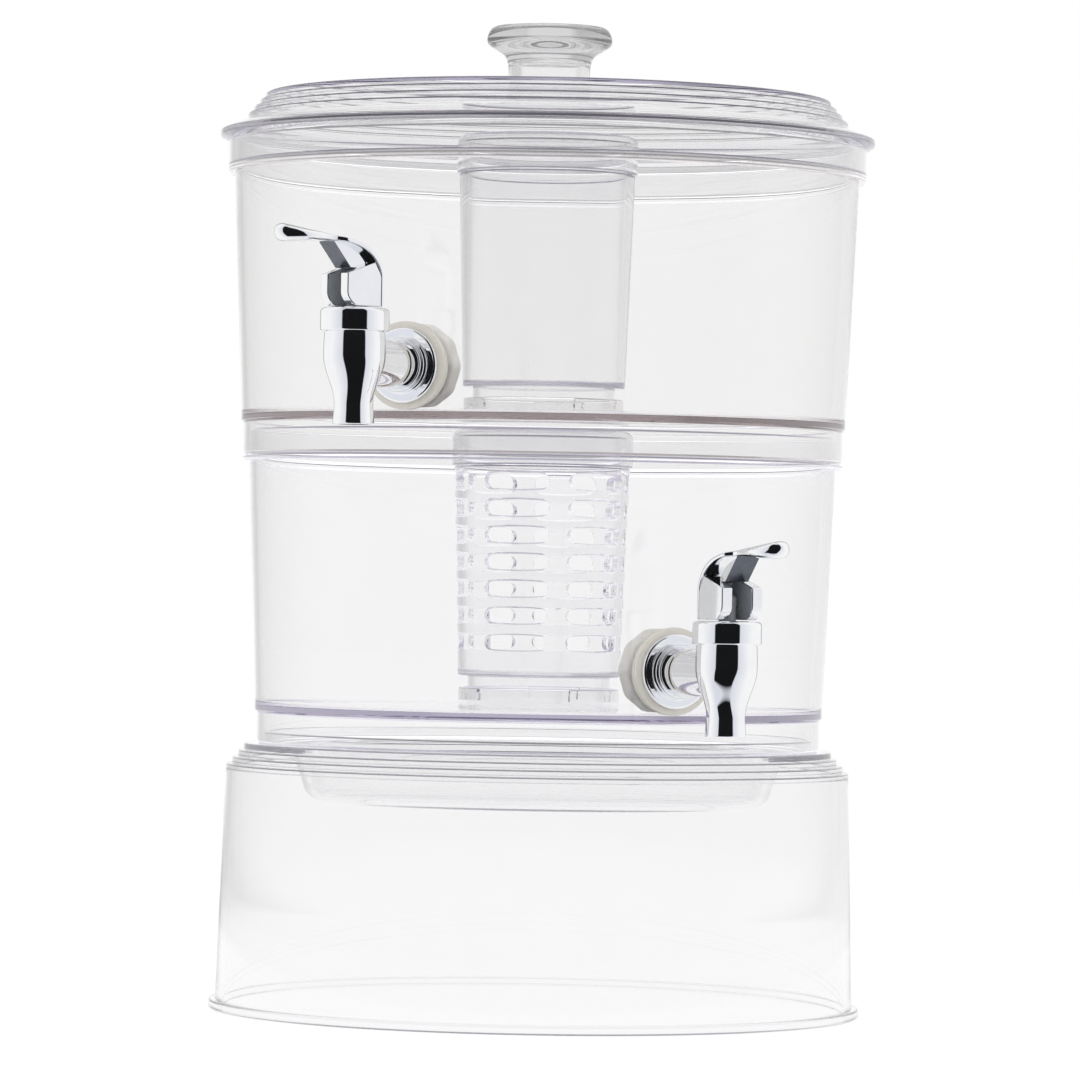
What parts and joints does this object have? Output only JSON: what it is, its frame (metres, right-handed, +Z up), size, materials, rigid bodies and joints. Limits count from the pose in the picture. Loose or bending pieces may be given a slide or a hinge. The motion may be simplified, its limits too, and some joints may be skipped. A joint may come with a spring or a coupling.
{
  "type": "two-tier beverage dispenser",
  "caption": "Clear stacking drink dispenser: round tanks on a flared stand with a stepped lid and knob, each tank with a capped central tube and a chrome lever spigot.",
  "frame": {"origin": "centre of the stand's foot, on the plane it rests on", "axes": "+Z up the common axis of the stand, tanks and lid; -Y is the front, between the spigots"},
  "size_m": [0.2848, 0.33, 0.4282],
  "materials": {
    "clear": "clear polished acrylic",
    "chrome": "bright chrome plate",
    "nut": "warm off-white nylon",
    "gasket": "warm off-white silicone",
    "stem": "black acetal",
    "plug": "dark silicone",
    "steel": "stainless wire"
  },
  "bodies": {
    "base": {"base_stand": "clear"},
    "lower_tier": {"lower_tank": "clear", "lower_spigot_body": "chrome", "lower_outer_gasket": "gasket", "lower_inner_gasket": "gasket", "lower_shank_nut": "nut"},
    "upper_tier": {"upper_tank": "clear", "upper_spigot_body": "chrome", "upper_outer_gasket": "gasket", "upper_inner_gasket": "gasket", "upper_shank_nut": "nut"},
    "lid_set": {"lid": "clear", "lid_knob": "clear"},
    "infuser": {"infuser_basket": "clear"},
    "infuser_top": {"infuser_cap": "clear"},
    "chiller": {"chiller_tube": "clear"},
    "chiller_top": {"chiller_cap": "clear"},
    "upper_head": {"upper_bonnet": "chrome", "upper_return_spring": "steel"},
    "upper_valve": {"upper_valve_stem": "stem", "upper_seat_plug": "plug", "upper_lever_pin": "steel"},
    "upper_handle": {"upper_lever": "chrome"},
    "lower_head": {"lower_bonnet": "chrome", "lower_return_spring": "steel"},
    "lower_valve": {"lower_valve_stem": "stem", "lower_seat_plug": "plug", "lower_lever_pin": "steel"},
    "lower_handle": {"lower_lever": "chrome"}
  },
  "joints": [
    {"name": "lower_tier_lift", "type": "slide", "parent": "base", "child": "lower_tier", "axis": [0, 0, 1], "range_m": [0, 0.06]},
    {"name": "upper_tier_lift", "type": "slide", "parent": "lower_tier", "child": "upper_tier", "axis": [0, 0, 1], "range_m": [0, 0.15]},
    {"name": "lid_lift", "type": "slide", "parent": "upper_tier", "child": "lid_set", "axis": [0, 0, 1], "range_m": [0, 0.12]},
    {"name": "infuser_turn", "type": "hinge", "parent": "lower_tier", "child": "infuser", "pos_m": [0, 0, 0.1316], "axis": [0, 0, 1], "range_deg": [0, 60]},
    {"name": "infuser_cap_turn", "type": "hinge", "parent": "infuser", "child": "infuser_top", "pos_m": [0, 0, 0.2528], "axis": [0, 0, 1], "range_deg": [0, 90]},
    {"name": "chiller_turn", "type": "hinge", "parent": "upper_tier", "child": "chiller", "pos_m": [0, 0, 0.257], "axis": [0, 0, 1], "range_deg": [0, 60]},
    {"name": "chiller_cap_turn", "type": "hinge", "parent": "chiller", "child": "chiller_top", "pos_m": [0, 0, 0.3803], "axis": [0, 0, 1], "range_deg": [0, 90]},
    {"name": "upper_head_swivel", "type": "hinge", "parent": "upper_tier", "child": "upper_head", "pos_m": [-0.07764, -0.16205, 0.2977], "axis": [0, 0, 1], "range_deg": [-90, 90]},
    {"name": "upper_stem_lift", "type": "slide", "parent": "upper_head", "child": "upper_valve", "axis": [0, 0, 1], "range_m": [0, 0.0024], "stiffness_N_per_m": 800, "springref_m": -0.0015, "deforming": ["upper_return_spring"]},
    {"name": "upper_lever_tilt", "type": "hinge", "parent": "upper_valve", "child": "upper_handle", "pos_m": [-0.07764, -0.16205, 0.3047], "axis": [0.5736, -0.8192, 0], "range_deg": [0, 30]},
    {"name": "lower_head_swivel", "type": "hinge", "parent": "lower_tier", "child": "lower_head", "pos_m": [0.07684, -0.15345, 0.1723], "axis": [0, 0, 1], "range_deg": [-90, 90]},
    {"name": "lower_stem_lift", "type": "slide", "parent": "lower_head", "child": "lower_valve", "axis": [0, 0, 1], "range_m": [0, 0.0024], "stiffness_N_per_m": 800, "springref_m": -0.0015, "deforming": ["lower_return_spring"]},
    {"name": "lower_lever_tilt", "type": "hinge", "parent": "lower_valve", "child": "lower_handle", "pos_m": [0.07684, -0.15345, 0.1793], "axis": [0.8387, 0.5446, 0], "range_deg": [0, 30]}
  ],
  "couplings": [
    {"joint": "upper_lever_tilt", "follows": "upper_stem_lift", "rad_per_m": 218.14},
    {"joint": "lower_lever_tilt", "follows": "lower_stem_lift", "rad_per_m": 218.14}
  ]
}
